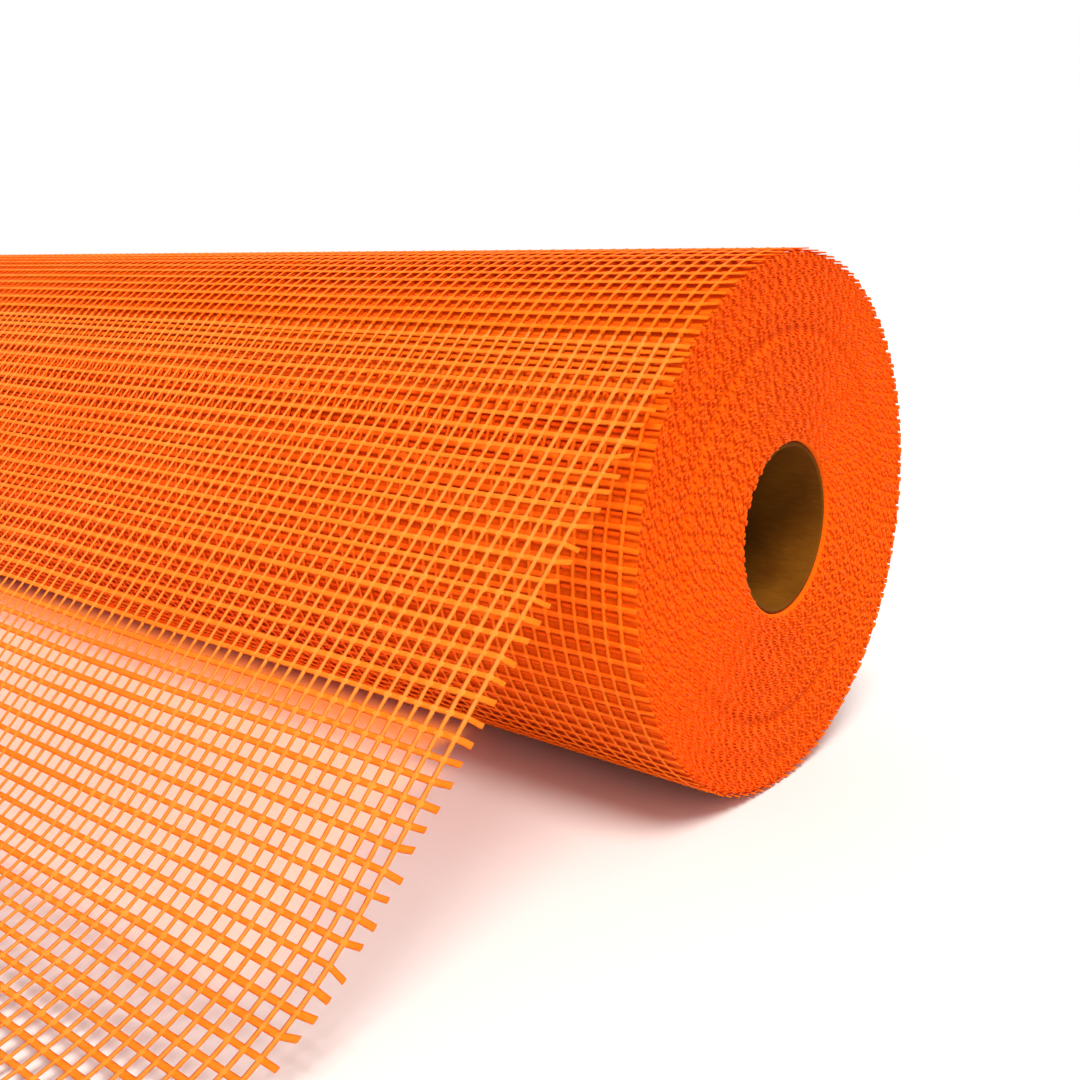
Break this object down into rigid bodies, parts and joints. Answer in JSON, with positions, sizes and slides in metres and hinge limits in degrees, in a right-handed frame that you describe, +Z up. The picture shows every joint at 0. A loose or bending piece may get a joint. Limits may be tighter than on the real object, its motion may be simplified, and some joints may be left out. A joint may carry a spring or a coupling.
{
  "type": "roll of fiberglass mesh",
  "caption": "Roll of open-weave orange fiberglass mesh on a cardboard core, lying on its side, with the loose end pulled off the front and sloping down to lie flat on the floor.",
  "frame": {"origin": "on the floor, in the middle of the footprint, which runs from the tip of the loose end to the back of the roll", "axes": "+X along the roll's axis, +Z up, and the loose end comes off the roll towards -Y"},
  "size_m": [1, 0.4337, 0.1669],
  "materials": {
    "coated_glass_mesh": "open leno weave of glass yarn in a satin orange coating, translucent where a single layer is seen",
    "core_board": "plain brown spirally wound board, matte"
  },
  "bodies": {
    "root": {"mesh_web": "coated_glass_mesh", "core_tube": "core_board"}
  },
  "joints": []
}
